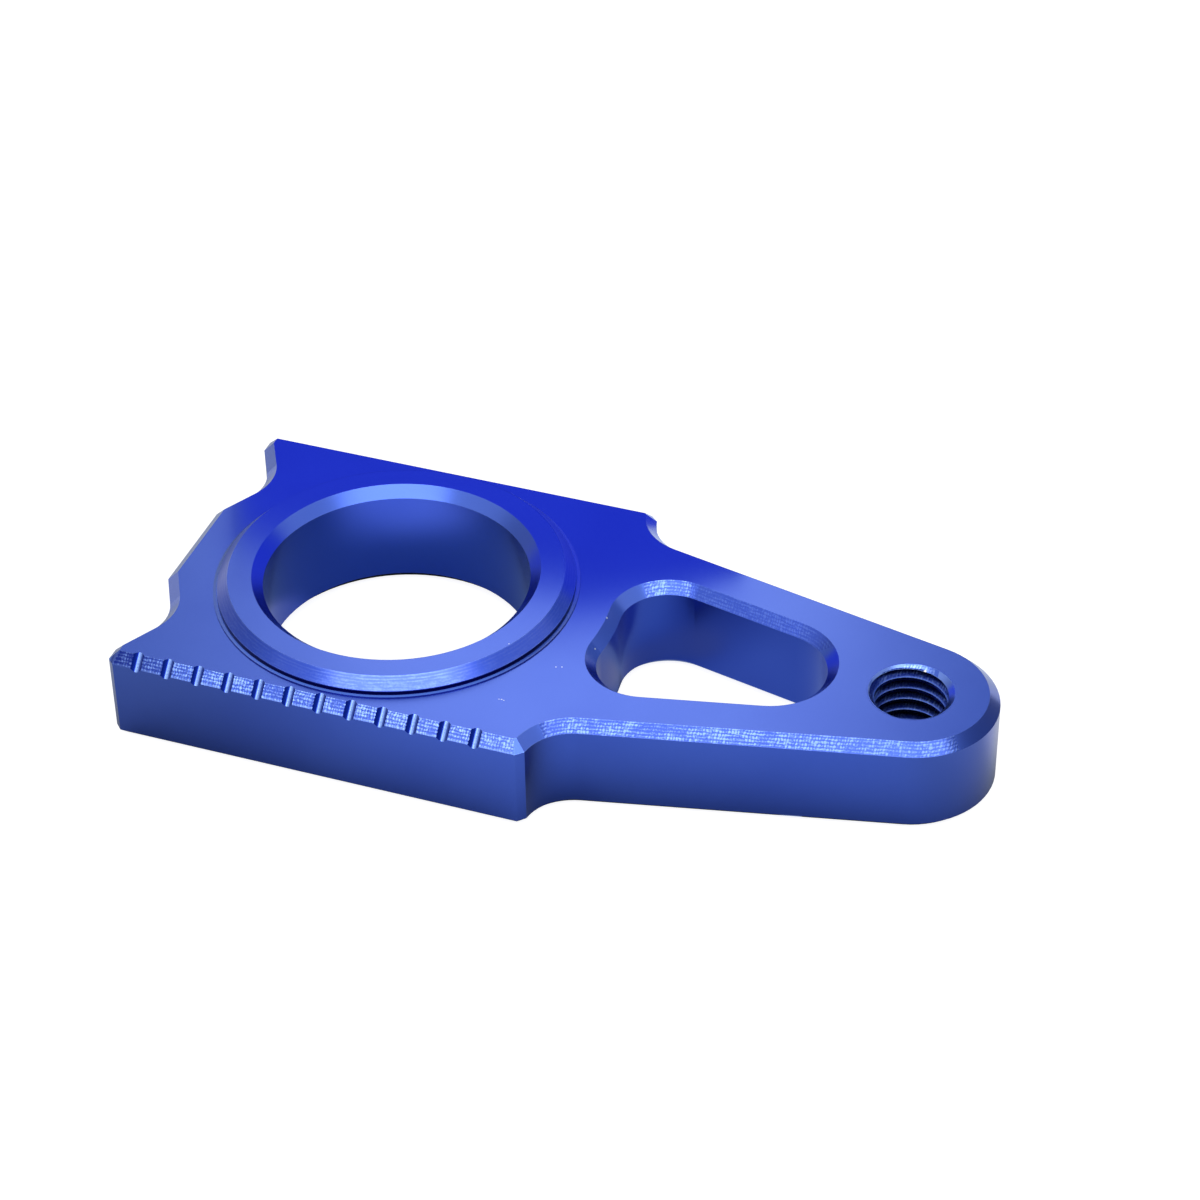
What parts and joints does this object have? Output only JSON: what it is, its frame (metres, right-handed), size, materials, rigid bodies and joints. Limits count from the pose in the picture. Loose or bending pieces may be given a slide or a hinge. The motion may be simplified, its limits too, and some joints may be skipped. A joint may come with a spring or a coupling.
{
  "type": "motorcycle chain adjuster",
  "caption": "Machined swingarm axle block with a raised axle boss, notched end face, index marks on one edge, and a tapering windowed arm that ends in a tapped tip.",
  "frame": {"origin": "on the axle bore's axis, at the flat back face", "axes": "+Z along the axle bore, out of the raised boss; +X from the bore towards the tapped tip; the index marks are on the -Y edge"},
  "size_m": [0.0788, 0.0374, 0.011],
  "materials": {
    "anodised_aluminium": "satin blue anodised aluminium, milled and turned"
  },
  "bodies": {
    "root": {"adjuster_block": "anodised_aluminium"}
  },
  "joints": []
}
